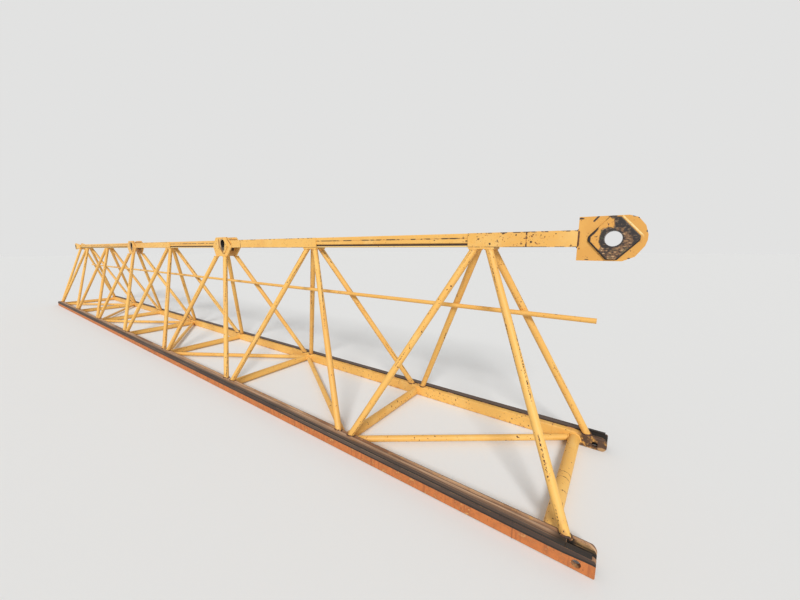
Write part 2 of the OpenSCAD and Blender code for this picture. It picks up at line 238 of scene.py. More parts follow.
def endFinish(finish, colour, roughness, height, bump, depth, metallic=None):
    tree = finish.node_tree
    shader = tree.nodes["Principled BSDF"]
    tree.links.new(colour.socket, shader.inputs["Base Color"])
    tree.links.new(roughness.socket, shader.inputs["Roughness"])
    if metallic is not None:
        tree.links.new(metallic.socket, shader.inputs["Metallic"])
    relief = height.node("ShaderNodeBump", None, {"Strength": bump, "Distance": depth, "Height": height})
    tree.links.new(relief.socket, shader.inputs["Normal"])
    return finish


paint = {
    "bright": (0.840, 0.478, 0.112),     # sunlit crane yellow
    "deep": (0.760, 0.385, 0.080),       # the same paint where it is less faded
    "pale": (0.870, 0.560, 0.185),       # chalky
    "paleYellow": (0.950, 0.700, 0.300),
    "lug": (0.670, 0.310, 0.056),        # a younger, more orange coat
    "dust": (0.560, 0.420, 0.260),
    "rust": (0.400, 0.125, 0.036),
    "brightRust": (0.580, 0.185, 0.052),
    "darkRust": (0.120, 0.045, 0.022),
    "tieShadeAndDirt": (0.300, 0.125, 0.025),
    # bare steel, also the colour of painted shade in the chord's groove and along lower and inner edges
    "bareSteelAndShade": (0.045, 0.027, 0.020),
    # grease, also the colour of painted shade in the rails' black line, the fork's slot and the strip's
    # outer edge
    "grease": (0.022, 0.017, 0.013),
}


def paintLayers(place, fade=1.0):
    # slow fading, chalk and dust in the paint
    slow = noise(place, 0.8, 2.0)
    patch = noise(place, 5.0, 5.0, 0.6)
    grain = noise(place, 60.0, 3.0, 0.6)
    colour = coats(paint["bright"],
        (step(slow, 0.35, 0.68) * (0.75 * fade), paint["deep"]),
        (step(patch, 0.48, 0.74) * (0.55 * fade), paint["pale"]),
        (step(grain, 0.45, 0.80) * 0.16, paint["dust"]))
    return colour, patch, grain


def chips(place, amount=1.0, size=1.0):
    # two sizes of chip in loose clusters: core is bare metal, halo is the rust around it
    cluster = step(noise(place, 2.6, 3.0), 0.42, 0.62)
    field = noise(place, 58.0 / size, 2.0, 0.5)
    small = noise(place, 150.0 / size, 1.0, 0.4)
    edge = 0.735 - 0.055 * amount
    core = step(field - 0.05 * (1.0 - cluster), edge, edge + 0.02)
    speck = step(small, 0.74 - 0.02 * amount, 0.77) * cluster
    halo = step(field - 0.05 * (1.0 - cluster), edge - 0.05, edge)
    return either(core, speck), halo


def spots(across, up, places, blur):
    # marks at (x, z, half width, half height): the scaled distance from the middle is under about 1
    return either(*(step(radial((across - cx) / rx, (up - cz) / rz) + blur, 1.25, 0.75)
                    for cx, cz, rx, rz in places))


def scratch(across, up, a, b, half, blur):
    # a stroke from a to b: the distance from the segment is under half
    dx, dz = b[0] - a[0], b[1] - a[1]
    u, v = across - a[0], up - a[1]
    t = (u * dx + v * dz) / (dx * dx + dz * dz)
    t = t.node("ShaderNodeClamp", None, {0: t, 1: 0.0, 2: 1.0})
    return step(radial(u - t * dx, v - t * dz) + half * blur, half * 1.2, half * 0.8)


def craneYellow(name, extra=None, amount=1.0, size=1.0):
    # extra(place) gives masks for more bare metal and more rust, which also carry painted shade, and one for
    # a painted highlight in pale yellow
    finish, place = startFinish(name)
    colour, patch, grain = paintLayers(place)
    core, halo = chips(place, amount, size)
    stain = step(noise(place, 3.0, 6.0, 0.65, (1, 1, 0.35)), 0.60, 0.78) * 0.30
    if extra:
        moreCore, moreRust, *paintedHighlight = extra(place)
        core = either(core, moreCore)
        halo = either(halo, moreRust)
        for mask in paintedHighlight:
            colour = mixColour(mask, colour, paint["paleYellow"])
    colour = coats(colour,
        (stain, paint["brightRust"]),
        (halo * 0.60, paint["rust"]),
        (core, paint["bareSteelAndShade"]))
    roughness = 0.46 + 0.16 * patch + 0.22 * core + 0.12 * halo
    height = 0.25 * grain + 0.30 * patch - 0.9 * core - 0.15 * halo
    return endFinish(finish, colour, roughness, height, 0.35, 0.0012)


tubeWear = {
    "steep": (1.35, 1.25),               # the steeper rising tube at the root end starts between these
    "drift": 1.66,                       # turn of a chip line along the tube, in radians a metre
    "halfAngle": (0.22, 0.12),           # half width of a line, in radians
    "stretch": 1.11,                     # length along a tube for each metre up
    "dashes": (105.0, 3.0, 1.7),         # how fine they are along and round a tube, and between tubes
    "rising": (0.65, -1.3, 2.5),         # angles of the chip lines at 0.9 m up the tube
    "falling": (0.15, -1.5, 2.1),
    "worn": ((0.33, 0.51), (0.70, 0.82)),   # heights of the worst stretches on the near root tube
}


def tubeLine(side, kind):
    # chips in dashes along the tubes, from the place along and the angle round each tube's axis
    bay, apex, first = jib["bay"], jib["apex"], jib["firstNode"]
    slope = jib["gauge"] / 2 / math.sin(leanAngle)

    def masks(place):
        x, y, z = axes(place)
        lift = z + jib["drop"]
        up = lift / math.cos(leanAngle)
        out = (y - side * jib["gauge"] / 2 + side * leanSlope * lift) * (side * math.cos(leanAngle))
        if kind == "rising":
            root = step(x, *map(alongJib, tubeWear["steep"]))
            foot, tilt = root * first, root * (first / slope) - apex / slope
        else:
            root, foot, tilt = None, bay, (bay - apex) / slope
        across = x.maths("WRAP", x - jib["node0"] + foot - up * tilt, bay / 2, -bay / 2)
        angle = x.maths("ARCTAN2", across * 0.9, out)
        along = up * tubeWear["stretch"]
        wander = (noise(place, 1.4, 2.0) - 0.5) * 0.9 + (along - 0.9) * tubeWear["drift"]
        lines = either(*(step(abs(x.maths("WRAP", angle - crest - wander, math.pi, -math.pi)),
                              *tubeWear["halfAngle"]) for crest in tubeWear[kind]))
        fine, turn, shift = tubeWear["dashes"]
        grid = x.node("ShaderNodeCombineXYZ", None, {0: along * fine, 1: angle * turn, 2: x * shift})
        dash = noise(grid, 1.0, 2.0, 0.5)
        gate = step(noise(place, 1.9, 2.0, 0.5, None, (3.1, 0.4, 7.7)), 0.46, 0.58)
        if root is not None and side < 0:
            for low, high in tubeWear["worn"]:
                worn = root * step(z, low - 0.02, low + 0.01) * step(z, high + 0.02, high - 0.01)
                gate = either(gate, worn)
        core = step(dash, 0.51, 0.55) * gate * lines
        lowRust = step(along, 0.26, 0.13) * step(noise(place, 24.0, 4.0), 0.48, 0.60) * 0.8
        rust = either(step(dash, 0.46, 0.53) * gate * lines, lowRust)
        return core, rust

    return masks


chordWear = {
    "seam": 1.580,               # height of the thin rusted seam
    "groove": (1.5315, 1.5455),  # lower and upper edge of the painted shade in the groove
    "flange": (1.5245, 1.5305),  # the painted highlight on the flange's edge below it
    "edge": 1.6135,              # the worn upper edge of the face
    "spots": ((1.008, 1.563, 0.010, 0.005), (1.032, 1.584, 0.007, 0.004), (1.260, 1.571, 0.006, 0.003)),
}


def chordMarks(place):
    # the rusted seam along the face, the groove painted black as shade, a painted highlight on the flange
    # below it and painted shade along the underside
    x, y, z = axes(place)
    seam = step(abs(z - chordWear["seam"] - 0.003 * noise(place, 4.0, 2.0)), 0.0048, 0.0030)
    broken = step(noise(place, 34.0, 3.0, 0.5, (0.6, 1, 1), (2.2, 0, 0)), 0.44, 0.51)
    low, high = chordWear["groove"]
    groove = step(z, low - 0.0006, low + 0.0004) * step(z, high + 0.0006, high - 0.0004)
    edge = step(abs(y), 0.0496, 0.0500) * step(abs(z - chordWear["edge"]), 0.006, 0.001)
    low, high = chordWear["flange"]
    # worn edges at the top; below the flange the dark line paints the shade of the underside
    worn = either(edge * step(noise(place, 28.0, 4.0), 0.48, 0.56), step(z, low, low - 0.001) * 0.8)
    blur = noise(place, 90.0, 3.0) - 0.5
    marks = spots(x, z, marksAlong(chordWear["spots"]), blur)
    core = either(seam * broken, worn * 0.85, marks, groove * 0.97)
    # a painted highlight on the flange's edge
    flange = step(z, low - 0.0005, low + 0.0005) * step(z, high + 0.0005, high - 0.0005) * 0.9
    return core, either(groove, seam * 0.6), flange


plateJoints = {"root": [0.613], "outer": [3.943]}      # distances of the joints in the side plates
# distance along the jib, height and half sizes of the chips on the root side plates
rootPlateWear = ((0.842, 1.542, 0.007, 0.007), (0.793, 1.560, 0.003, 0.009), (0.675, 1.596, 0.004, 0.006),
                 (0.642, 1.541, 0.008, 0.004), (0.584, 1.552, 0.007, 0.007), (0.529, 1.592, 0.003, 0.004),
                 (0.757, 1.606, 0.007, 0.004), (0.448, 1.598, 0.004, 0.003), (0.366, 1.528, 0.007, 0.003),
                 (0.990, 1.600, 0.003, 0.003), (0.930, 1.590, 0.003, 0.003))


def plateMarks(joints, marks=()):
    # upright weld and rust lines at some distances along the jib, and single chips
    def masks(place):
        x, y, z = axes(place)
        wave = 0.006 * (noise(place, 30.0, 2.0) - 0.5)
        line = either(*(step(abs(x - alongJib(distance) - wave), 0.0055, 0.0025) for distance in joints))
        broken = step(noise(place, 60.0, 3.0), 0.44, 0.52)
        top = step(z, jib["chordTop"] - 0.008, jib["chordTop"] - 0.002)
        top = top * step(noise(place, 30.0, 4.0), 0.50, 0.58)
        # a broken dark line along the lower edge paints the shade of the underside
        low = step(z, jib["chordLow"] + 0.004, jib["chordLow"] + 0.002)
        low = low * step(noise(place, 26.0, 4.0), 0.36, 0.46)
        core = either(line * broken, top, low)
        if marks:
            core = either(core, spots(x, z, marksAlong(marks), noise(place, 110.0, 3.0) - 0.5))
        return core, either(line, top, low) * 0.8

    return masks


ringWear = {
    "rings": ((0.062, 0.0040), (0.006, 0.0045)),    # distance from the middle, half width
    "from": (5.90, 5.95),                           # only the crossbar beyond this x has them
}


def ringMarks(place):
    # dark rings of old weld spatter round the thick crossbar, near its middle
    x, y, z = axes(place)
    wave = 0.010 * (noise(place, 20.0, 2.0) - 0.5)
    rings = either(*(step(abs(y + middle + wave), half, 0.0015) for middle, half in ringWear["rings"]))
    broken = step(noise(place, 34.0, 3.0), 0.42, 0.52)
    nearRoot = step(x, *ringWear["from"])
    return rings * broken * nearRoot, rings * nearRoot * 0.8


railWear = {
    "outer": 0.0485,         # from the rail's middle to where the outer face begins
    "inner": -0.0485,
    "joint": 0.455,          # distance of the joint with the fork piece
    "forkYellow": (0.30, 0.24),     # the fork's inner face stops being yellow between these
    # the black line is painted shade under the running strip's edge
    "line": 0.0655,          # a black line along the outer face, with the strip's dirt above it
    "lineWidth": 0.0105,
    "lineRise": 0.0085,      # it runs higher on the fork's outer finger
    "slot": 0.0262,          # half width of the fork's slot, and the distance of its root
    "slotRoot": 0.213,
    "rise": (0.26, 0.09),    # distances between which the line rises
    "wall": (0.19, 0.16),    # and between which the slot's rubbed wall begins
    "innerJoint": 0.610,     # the joint as it shows on the inner face
    "tan": (6.190, 0.014, 0.028, 0.016),    # a painted patch of light at the far fork's tip
}


def railPaint(name, fork=False, far=False):
    # outer face orange with rust, inner face yellow, lips brown and rubbed, but yellow on the far rail,
    # whose fork is painted dark as shade, with a painted patch of light at its tip
    finish, place = startFinish(name)
    x, y, z = axes(place)
    across = abs(y) - jib["railY"]
    yellow, patch, _ = paintLayers(place)
    core, halo = chips(place)
    mottled = noise(place, 17.0, 6.0, 0.68)
    fine = noise(place, 85.0, 4.0, 0.6)
    upright = noise(place, 44.0, 3.0, 0.55, (1, 1, 0.10))
    streak = noise(place, 9.0, 5.0, 0.6, (0.12, 1, 1), (1.7, 0, 0))
    edgeNoise = 0.010 * (mottled - 0.5)
    outer = step(across, railWear["outer"] - 0.002, railWear["outer"] + 0.002)
    inner = step(across, railWear["inner"] + 0.002, railWear["inner"] - 0.002)

    orange = coats((0.560, 0.178, 0.047),
        (step(mottled, 0.42, 0.66) * 0.75, (0.340, 0.104, 0.030)),
        (step(upright, 0.54, 0.64) * 0.50, (0.300, 0.085, 0.028)),
        (step(streak, 0.56, 0.70) * 0.50, paint["darkRust"]),
        (step(fine * 0.4 + mottled * 0.6, 0.56, 0.60) * 0.6, (0.760, 0.400, 0.130)),
        (step(fine, 0.60, 0.68) * 0.5, paint["darkRust"]))
    if fork:
        orange = mixColour(step(mottled + 0.2 * fine, 0.62, 0.74) * 0.35, orange, (0.560, 0.250, 0.100))
    orange = mixColour(step(z, 0.0075, 0.0035) * 0.55, orange, paint["dust"])
    seam = step(abs(x - alongJib(railWear["joint"] + 0.003) - 0.004 * (fine - 0.5)), 0.0040, 0.0020)
    orange = mixColour(seam * 0.45, orange, paint["darkRust"])
    up = z + 0.003 * (mottled - 0.5) - railWear["line"]
    if fork:
        up = up - railWear["lineRise"] * step(x, *map(alongJib, railWear["rise"]))
    above = step(up, 0.0, 0.001)
    line = above * step(up, railWear["lineWidth"] + 0.001, railWear["lineWidth"])
    onTop = mixColour(step(streak, 0.40, 0.62), (0.042, 0.030, 0.024), (0.086, 0.060, 0.045))
    # the strip's dirt over the upper face, and a black line of painted shade under it
    orange = coats(orange,
        (above * 0.97, onTop),
        (line * 0.97, paint["grease"]))

    # the lip's colour; the dark band along its inner edge is painted shade
    brown = coats((0.250, 0.115, 0.055),
        (step(streak, 0.40, 0.58), (0.600, 0.360, 0.200)),
        (step(mottled, 0.56, 0.64) * 0.75, (0.640, 0.330, 0.110)),
        (step(fine, 0.58, 0.68) * 0.5, paint["darkRust"]),
        (step(across + 0.6 * edgeNoise, -0.0415, -0.0445) * 0.9, paint["bareSteelAndShade"]))

    dirt = step(z + 0.02 * patch, 0.042, 0.012) * step(mottled, 0.48, 0.62)
    wornTop = step(z + edgeNoise, 0.091, 0.096) * step(mottled, 0.46, 0.56) * (0.25 if far else 1.0)
    yellow = coats(yellow,
        (halo * 0.6, paint["rust"]),
        (either(dirt, wornTop) * 0.8, mixColour(patch, paint["brightRust"], paint["rust"])),
        (core, paint["bareSteelAndShade"]))
    if fork:
        atTip = step(x + 0.10 * (mottled - 0.5), *map(alongJib, railWear["forkYellow"]))
        stained = coats((0.230, 0.100, 0.045),
            (step(mottled, 0.50, 0.60), paint["deep"]),
            (step(fine, 0.56, 0.66) * 0.7, paint["darkRust"]))
        # on the far fork the dark is painted shade and the tan spot a painted patch of light
        if far:
            stained = coats(stained,
                (step(mottled + 0.3 * fine, 0.85, 0.62) * 0.9, (0.060, 0.030, 0.016)),
                (spots(x, z, [railWear["tan"]], 1.2 * (mottled - 0.5)), (0.420, 0.240, 0.100)))
        yellow = mixColour(atTip, yellow, stained)
    else:
        # the weld at the fork piece shows as a short dark line on the inner face
        joint = step(abs(x - alongJib(railWear["innerJoint"]) - 0.006 * (patch - 0.5)), 0.0080, 0.0040)
        joint = joint * step(z, 0.030, 0.040) * step(z, 0.092, 0.080) * step(fine, 0.36, 0.48)
        yellow = mixColour(joint, yellow, paint["bareSteelAndShade"])
    if far:
        brown = yellow
    colour = mixColour(outer, brown, orange)
    colour = mixColour(inner, colour, yellow)
    if fork:
        # the slot is painted dark for grease and shade, but the inner finger's wall is rubbed brown at the
        # top
        slot = step(abs(across), railWear["slot"] + 0.0012, railWear["slot"])
        slot = slot * step(x, alongJib(railWear["slotRoot"]), alongJib(railWear["slotRoot"] - 0.002))
        wall = step(across, 0.0, -0.010) * step(z + 0.4 * edgeNoise, 0.067, 0.073)
        wall = wall * step(x, *map(alongJib, railWear["wall"]))
        lines = noise(place, 60.0, 4.0, 0.6, (0.10, 1, 1))
        rubbed = coats((0.090, 0.055, 0.022),
            (step(lines, 0.42, 0.58), (0.520, 0.300, 0.130)),
            (step(mottled, 0.54, 0.62) * 0.5, (0.420, 0.180, 0.060)))
        colour = mixColour(slot, colour, mixColour(wall, paint["grease"], rubbed))
    rough = 0.80 - 0.30 * inner + 0.06 * fine
    height = 0.45 * mottled + 0.45 * fine - 0.4 * core
    return endFinish(finish, colour, rough, height, 0.5, 0.0014)


stripWear = {
    "wheel": 0.573,              # the wheels run at this y
    "wheelHalf": 0.024,          # half the width of their track
    "lip": 0.038,                # width of the near strip's tan part
    "grease": (0.300, 0.235),    # distances between which the grease at the fork begins
}


def stripSteel(name, lipWidth=0.0):
    # rolled bare steel: long streaks of the trolley wheels over brown rust; lipWidth is the part beside
    # the lip that has its tan colour, and the rest is darker
    finish, place = startFinish(name)
    x, y, z = axes(place)
    across = abs(y)
    streak = noise(place, 90.0, 4.0, 0.6, (0.012, 1, 0.3))
    wide = noise(place, 20.0, 3.0, 0.6, (0.03, 1, 1), (5.0, 0, 0))
    blotch = noise(place, 7.0, 5.0, 0.65, (0.4, 1, 1))
    speck = noise(place, 120.0, 2.0, 0.5)
    polished = step(abs(across - stripWear["wheel"]), stripWear["wheelHalf"], 0.006)
    polished = polished * step(blotch, 0.72, 0.42)
    colour = coats((0.078, 0.050, 0.038),
        (step(streak, 0.35, 0.65), (0.210, 0.140, 0.098)),
        (step(wide, 0.46, 0.62) * 0.65, (0.255, 0.140, 0.085)),
        (step(blotch, 0.50, 0.74) * 0.55, (0.062, 0.042, 0.034)),
        (polished * 0.50, (0.215, 0.170, 0.145)),
        (step(speck, 0.62, 0.68) * 0.6, paint["darkRust"]))
    side = across - jib["stripInner"] + 0.010 * (wide - 0.5)
    if lipWidth:
        dull = mixColour(step(streak, 0.40, 0.60), (0.130, 0.075, 0.048), (0.300, 0.180, 0.110))
        tan = coats((0.260, 0.145, 0.080),
            (step(streak, 0.38, 0.60), (0.580, 0.370, 0.230)),
            (step(blotch, 0.46, 0.66) * 0.5, dull),
            (step(side, 0.55 * lipWidth, 0.75 * lipWidth), dull))
        colour = coats(colour,
            (0.55, (0.042, 0.032, 0.026)),
            (step(side, lipWidth + 0.002, lipWidth - 0.002), tan))
    else:
        colour = mixColour(0.60, colour, (0.060, 0.032, 0.018))
    greasy = step(x, *map(alongJib, stripWear["grease"]))
    innerEdge = step(across, jib["stripInner"] + 0.0030, jib["stripInner"] + 0.0008)
    # a dark line of painted shade along the strip's outer edge
    outerEdgeShade = step(across, jib["railY"] + 0.0455, jib["railY"] + 0.0485)
    colour = coats(colour,
        (greasy * 0.9, paint["grease"]),
        (either(outerEdgeShade, innerEdge * 0.8) * 0.9, paint["grease"]))
    roughness = 0.68 - 0.22 * polished + 0.10 * streak
    metallic = 0.10 + 0.35 * polished
    height = 0.6 * streak + 0.4 * blotch
    return endFinish(finish, colour, roughness, height, 0.35, 0.0008, metallic)


lugWear = {
    "edge": 0.1005,              # distance of the pad's slanted edges from the bore
    "pale": 0.1085,              # and of the pale line outside the upper right one
    "slant": (0.736, 0.677),     # direction across the pad's upper right edge
    "nick": ((-0.096, 0.096), (-0.076, 0.119)),     # a burnt stroke at the lug's upper edge
    "spots": ((-0.158, 0.112, 0.014, 0.006), (0.083, 0.115, 0.008, 0.004), (0.104, 0.105, 0.005, 0.003),
              (0.080, -0.106, 0.008, 0.003), (-0.010, 0.118, 0.020, 0.003),
              (-0.115, -0.115, 0.012, 0.003), (0.143, 0.036, 0.003, 0.006)),
}


def lugPaint(name):
    # the orange coat of the lug, with a black bore, burnt edges and a few chips
    finish, place = startFinish(name)
    x, y, z = axes(place)
    colour, patch, _ = paintLayers(place, 0.5)
    colour = coats(colour,
        (0.75, paint["lug"]),
        (step(patch, 0.46, 0.66) * 0.35, paint["bright"]))
    core, halo = chips(place, 0.8, 0.9)
    u, v = x - jib["lugBore"][0], z - jib["lugBore"][1]
    blot = noise(place, 26.0, 6.0, 0.7)
    distance = radial(u, v)
    blur = (blot - 0.5) * 2.2
    stroke = scratch(u, v, *lugWear["nick"], 0.0045, blur * 0.5)
    burnt = either(stroke, spots(u, v, lugWear["spots"], blur))
    bore = step(distance, jib["lugRadius"] + 0.0015, jib["lugRadius"] - 0.0005)
    # the flame-cut edge faces are rougher and darker than the flat faces
    cutFace = step(abs(y), 0.0352, 0.0340)
    # a pale line outside the pad's upper right edge
    upRight = u * lugWear["slant"][0] + v * lugWear["slant"][1]
    pale = step(upRight, lugWear["edge"], lugWear["edge"] + 0.001)
    pale = pale * step(upRight, lugWear["pale"] + 0.001, lugWear["pale"] - 0.001)
    pale = pale * step(u, 0.030, 0.038) * step(u, 0.136, 0.124)
    colour = coats(colour,
        (pale * step(blot, 0.66, 0.50), paint["paleYellow"]),
        (halo * 0.5, paint["rust"]),
        (cutFace * step(blot, 0.40, 0.60) * 0.55, paint["rust"]),
        (either(core, burnt), paint["bareSteelAndShade"]),
        (bore, paint["grease"]))
    roughness = 0.50 + 0.14 * patch - 0.14 * bore + 0.1 * core
    height = 0.3 * patch + 0.3 * blot - 0.6 * either(core, burnt)
    return endFinish(finish, colour, roughness, height, 0.5, 0.0018)


def padWear(name):
    # the bearing pad: orange paint at the left, black grease round the bore and along the upper right
    # edge, and rubbed brown steel with streaks between them; places are measured from the bore
    finish, place = startFinish(name)
    x, _, z = axes(place)
    u, v = x - jib["lugBore"][0], z - jib["lugBore"][1]
    colour, patch, _ = paintLayers(place, 0.5)
    core, halo = chips(place, 1.6, 0.8)
    blot = noise(place, 30.0, 6.0, 0.7)
    slow = noise(place, 11.0, 4.0, 0.6)
    fleck = noise(place, 84.0, 4.0, 0.6, (0.62, 1, 1.25), (0.4, 0, 0.9))
    blur = blot - 0.5
    distance = radial(u, v)
    sx, sz = lugWear["slant"]
    upRight = u * sx + v * sz
    downRight = u * sx - v * sz

    left = step(u + 0.05 * blur, -0.054, -0.064)
    topLeft = step(u + 0.04 * blur, 0.004, -0.008) * step(v + 0.05 * blur, 0.046, 0.056)
    painted = either(left, topLeft)
    rubbed = coats((0.045, 0.026, 0.018),
        (step(fleck, 0.42, 0.54), (0.240, 0.125, 0.056)),
        (step(fleck, 0.57, 0.63) * 0.9, (0.620, 0.400, 0.210)),
        (step(slow, 0.50, 0.58) * step(blot, 0.42, 0.54) * 0.8, (0.120, 0.110, 0.045)),
        (step(blot, 0.58, 0.66) * 0.7, (0.300, 0.090, 0.030)))

    band = step(upRight + 0.060 * blur, 0.060, 0.070)
    top = step(u + 0.05 * blur, -0.004, 0.006) * step(v + 0.07 * blur - 0.5 * u, 0.040, 0.050)
    corner = step(u + 0.04 * blur, 0.080, 0.090) * step(v + 0.03 * blur, -0.040, -0.030)
    reach = 0.0500 + 0.0150 * step(u, 0.012, -0.030)
    ring = step(distance + 0.030 * blur - reach, 0.003, -0.003)
    smear = step(blot, 0.56, 0.62) * step(distance, 0.110, 0.080)
    edge = lugWear["edge"]
    # dark lines along the pad's edges: grease, with painted shade in the gaps beside the pad
    lowRight = step(downRight + 0.008 * blur, edge - 0.014, edge - 0.010)
    lowLeft = step(upRight - 0.008 * blur, 0.015 - edge, 0.011 - edge)
    upLeft = step(downRight - 0.02 * blur, 0.020 - edge, 0.015 - edge) * step(u, -0.066, -0.076)
    thin = step(downRight, 0.008 - edge, 0.004 - edge) * step(u, -0.046, -0.036) * step(u, 0.0, -0.010)
    rim = either(lowRight, lowLeft, upLeft, thin, step(u, -0.1020, -0.1060))
    black = either(band, top, corner, ring, smear)

    greasy = coats((0.022, 0.017, 0.016),
        (step(fleck, 0.55, 0.63) * 0.8, (0.190, 0.125, 0.075)),
        (step(slow, 0.55, 0.62) * step(fleck, 0.50, 0.40) * 0.6, (0.060, 0.075, 0.040)))
    clean = step(upRight, edge + 0.0004, edge + 0.0016)      # the upper right rim
    colour = coats(colour,
        (0.75, paint["lug"]),
        (halo * 0.7, paint["rust"]),
        (core, paint["bareSteelAndShade"]),
        (1.0 - painted, rubbed),
        (black * 0.96, greasy),
        (rim, (0.020, 0.011, 0.008)),
        (clean, paint["paleYellow"]))
    roughness = 0.56 + 0.14 * patch - 0.20 * black
    height = 0.5 * blot + 0.3 * fleck + 0.25 * black - 0.4 * core
    return endFinish(finish, colour, roughness, height, 0.55, 0.0020)


# marks on a tie lug, measured from its bore
tieWear = {
    "run": (-0.006, -0.044, 0.042, 0.050),      # dirt below the bore: its middle and half sizes
    # dark lines of painted shadow and weld dirt along the pad's edge and the shoulder: from, to and half
    # width
    "lines": (((-0.100, 0.050), (-0.100, -0.040), 0.018),
              ((-0.100, -0.040), (-0.018, -0.112), 0.018),
              ((0.092, 0.078), (0.183, -0.013), 0.011)),
    "outside": 0.0620,                   # they show on the outer faces only
    "inside": 0.0515,                    # the plates' inner faces, painted with shade just above the chord
}


def boreDark(name, centres, boreZ, radius, lines=()):
    # yellow plate whose bores are dark and greasy inside, with run marks below them and dark lines of
    # painted shadow and weld dirt
    finish, place = startFinish(name)
    x, y, z = axes(place)
    colour, patch, grain = paintLayers(place)
    core, halo = chips(place, 1.1)
    blot = noise(place, 26.0, 6.0, 0.7)
    black, grey, brown = [], [], []
    for cx in centres:
        dx = x - cx
        dz = z - boreZ
        distance = radial(dx, dz)
        inside = step(distance, radius + 0.0030, radius + 0.0015)
        run = spots(dx, dz, [tieWear["run"]], 0.9 * (blot - 0.5))
        ring = step(distance + 0.030 * (blot - 0.5), radius + 0.034, radius + 0.016)
        black.append(either(inside, run * 0.90))
        grey.append(ring * step(dx, 0.020, -0.010))
        brown += [scratch(dx, dz, a, b, half, 0.6 * (blot - 0.5)) for a, b, half in lines]
    colour = coats(colour,
        (halo * 0.6, paint["rust"]),
        (core, paint["bareSteelAndShade"]),
        (either(*grey) * 0.80, (0.330, 0.230, 0.150)))
    # the lines on the outer faces and the band above the chord on the inner faces are painted shade, the
    # lines with weld dirt
    if lines:
        above = step(abs(y), tieWear["inside"], tieWear["inside"] - 0.0005)
        above = above * step(z, jib["chordTop"] - 0.001, jib["chordTop"])
        above = above * step(z + 0.006 * blot, jib["chordTop"] + 0.020, jib["chordTop"] + 0.016)
        outside = step(abs(y), tieWear["outside"], tieWear["outside"] + 0.0010)
        rust = either(either(*brown) * outside, above)
        colour = mixColour(rust * 0.95, colour, paint["tieShadeAndDirt"])
    colour = mixColour(either(*black), colour, paint["grease"])
    roughness = 0.48 + 0.14 * patch + 0.1 * core
    return endFinish(finish, colour, roughness, 0.3 * patch + 0.25 * grain - 0.8 * core, 0.4, 0.0014)


def weldPaint(name):
    # painted weld beads: dust in the ripples, rust at the toes
    finish, place = startFinish(name)
    colour, _, grain = paintLayers(place)
    rustField = noise(place, 38.0, 5.0, 0.65)
    rust = step(rustField, 0.55, 0.66)
    colour = coats(colour,
        (rust * 0.75, paint["rust"]),
        (step(rustField, 0.68, 0.72), paint["bareSteelAndShade"]))
    return endFinish(finish, colour, 0.5 + 0.2 * rust, 0.4 * grain + 0.4 * rustField, 0.4, 0.001)


def darkWeld(name):
    # unpainted beads: brown scale with a little paint left; on the lug's step and the tie pads' left and
    # lower edges their darkness also paints shade
    finish, place = startFinish(name)
    colour, _, grain = paintLayers(place)
    mottled = noise(place, 40.0, 5.0, 0.6)
    colour = coats(colour,
        (step(mottled, 0.68, 0.58), paint["darkRust"]),
        (step(mottled, 0.50, 0.42) * 0.8, paint["bareSteelAndShade"]))
    return endFinish(finish, colour, 0.6 + 0.2 * mottled, 0.4 * grain + 0.4 * mottled, 0.4, 0.001)


def dress(finish, *names):
    for name in names:
        slots = nodes[name].data.materials
        slots.clear()
        slots.append(finish)


for word, side in (("near", -1), ("far", 1)):
    dress(craneYellow(word + "FallingPaint", tubeLine(side, "falling"), 0.9), word + "_falling_diagonals")
    dress(craneYellow(word + "RisingPaint", tubeLine(side, "rising"), 0.9), word + "_rising_diagonals")
dress(craneYellow("postPaint"), "end_posts", "apex_plates")
dress(craneYellow("floorPaint", ringMarks, 1.15, 1.15),
      "floor_crossbars", "end_crossbar", "floor_diagonals")
dress(craneYellow("guidePaint", None, 0.7, 0.8), "guide_tube")
dress(craneYellow("chordPaint", chordMarks), "top_chord_root", "top_chord_middle", "top_chord_outer")
dress(craneYellow("rootPlatePaint", plateMarks(plateJoints["root"], rootPlateWear), 1.1), "root_side_plates")
dress(craneYellow("outerPlatePaint", plateMarks(plateJoints["outer"])),
      "inner_side_plates", "outer_side_plates")
dress(railPaint("railPaint"), "near_rail")
dress(railPaint("farRailPaint", False, True), "far_rail")
dress(railPaint("forkPaint", True), "near_rail_fork", "near_rail_tongue", "far_rail_tongue")
dress(railPaint("farForkPaint", True, True), "far_rail_fork")
dress(stripSteel("nearStripSteel", stripWear["lip"]), "near_running_strip")
dress(stripSteel("farStripSteel"), "far_running_strip")
dress(lugPaint("lugPaint"), "end_lug")
dress(padWear("padWear"), "end_lug_pads")
tieBores = [alongJib(apexDistance(k) - jib["tieBore"]) for k in jib["ties"]]
dress(boreDark("tiePaint", tieBores, jib["tieBoreZ"], jib["tieRadius"], tieWear["lines"]),
      *(word + "_tie_" + kind for kind in ("lugs", "pads", "sleeve") for word in ("inner", "outer")))
dress(boreDark("chordForkPaint", [alongJib(jib["forkBore"])], jib["lugBore"][1], jib["lugRadius"]),
      "top_chord_fork")
print("finishes on the frame done")


